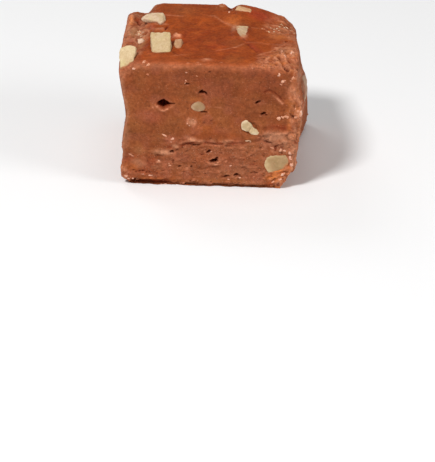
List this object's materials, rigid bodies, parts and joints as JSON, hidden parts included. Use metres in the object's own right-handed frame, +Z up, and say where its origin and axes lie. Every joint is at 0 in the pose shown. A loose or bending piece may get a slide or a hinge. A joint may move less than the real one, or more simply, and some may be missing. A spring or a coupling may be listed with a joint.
{
  "type": "chocolate fudge square",
  "caption": "Hand-cut square of chocolate fudge with chopped walnut pieces set in it, smooth poured top and torn, pitted cut sides.",
  "frame": {"origin": "middle of the underside, at the level the piece rests on", "axes": "+X to the right along the front cut face, +Y from the front face to the back face, +Z up to the smooth poured top"},
  "size_m": [0.0492, 0.0445, 0.0365],
  "materials": {
    "fudge": "chocolate fudge: satin on the poured top, matt and finely grained on the cut sides",
    "walnut": "chopped walnut: pale cream cut flesh, matt, with a faint oily sheen"
  },
  "bodies": {
    "root": {"fudge_block": "fudge", "nut_top_square": "walnut", "nut_top_corner": "walnut", "nut_top_wedge": "walnut", "nut_top_small": "walnut", "nut_top_sliver": "walnut", "nut_top_veiled": "walnut", "nut_top_back": "walnut", "nut_top_back_small": "walnut", "nut_top_edge": "walnut", "nut_front_diagonal": "walnut", "nut_front_right": "walnut", "nut_front_oval": "walnut", "nut_right_tall": "walnut", "nut_right_low": "walnut", "nut_right_high": "walnut", "nut_back_high": "walnut", "nut_back_low": "walnut", "nut_back_small": "walnut", "nut_left_low": "walnut", "nut_left_high": "walnut"}
  },
  "joints": []
}
